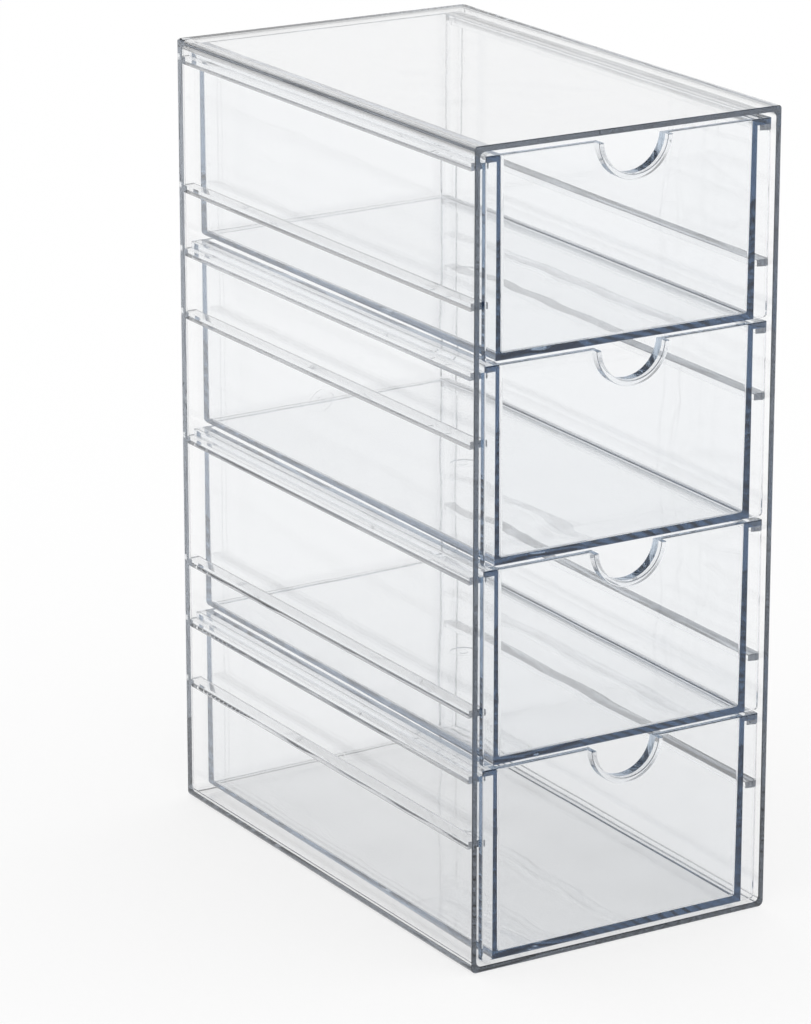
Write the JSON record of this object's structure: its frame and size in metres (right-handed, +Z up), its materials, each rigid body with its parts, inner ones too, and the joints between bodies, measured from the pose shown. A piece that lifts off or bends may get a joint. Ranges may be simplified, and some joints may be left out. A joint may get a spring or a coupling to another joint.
{
  "type": "clear drawer organizer",
  "caption": "Tall clear plastic desk organizer: an open-fronted case with moulded side rails and a stack of hanging pull-out drawers, each with a half-round lipped finger notch.",
  "frame": {"origin": "centre of the object's overall box, finger lips included, on the surface it stands on", "axes": "+X to the right seen from the front, -Y out of the open front where the drawers come out, +Z up"},
  "size_m": [0.105, 0.1776, 0.25],
  "materials": {
    "clear_case": "clear, polished, colourless moulded polystyrene",
    "clear_drawer": "clear, polished, faintly blue moulded polystyrene"
  },
  "bodies": {
    "case": {"case": "clear_case"},
    "drawer_1": {"drawer_1": "clear_drawer"},
    "drawer_2": {"drawer_2": "clear_drawer"},
    "drawer_3": {"drawer_3": "clear_drawer"},
    "drawer_4": {"drawer_4": "clear_drawer"}
  },
  "joints": [
    {"name": "drawer_1_slide", "type": "slide", "parent": "case", "child": "drawer_1", "axis": [0, -1, 0], "range_m": [0, 0.14]},
    {"name": "drawer_2_slide", "type": "slide", "parent": "case", "child": "drawer_2", "axis": [0, -1, 0], "range_m": [0, 0.14]},
    {"name": "drawer_3_slide", "type": "slide", "parent": "case", "child": "drawer_3", "axis": [0, -1, 0], "range_m": [0, 0.14]},
    {"name": "drawer_4_slide", "type": "slide", "parent": "case", "child": "drawer_4", "axis": [0, -1, 0], "range_m": [0, 0.14]}
  ]
}
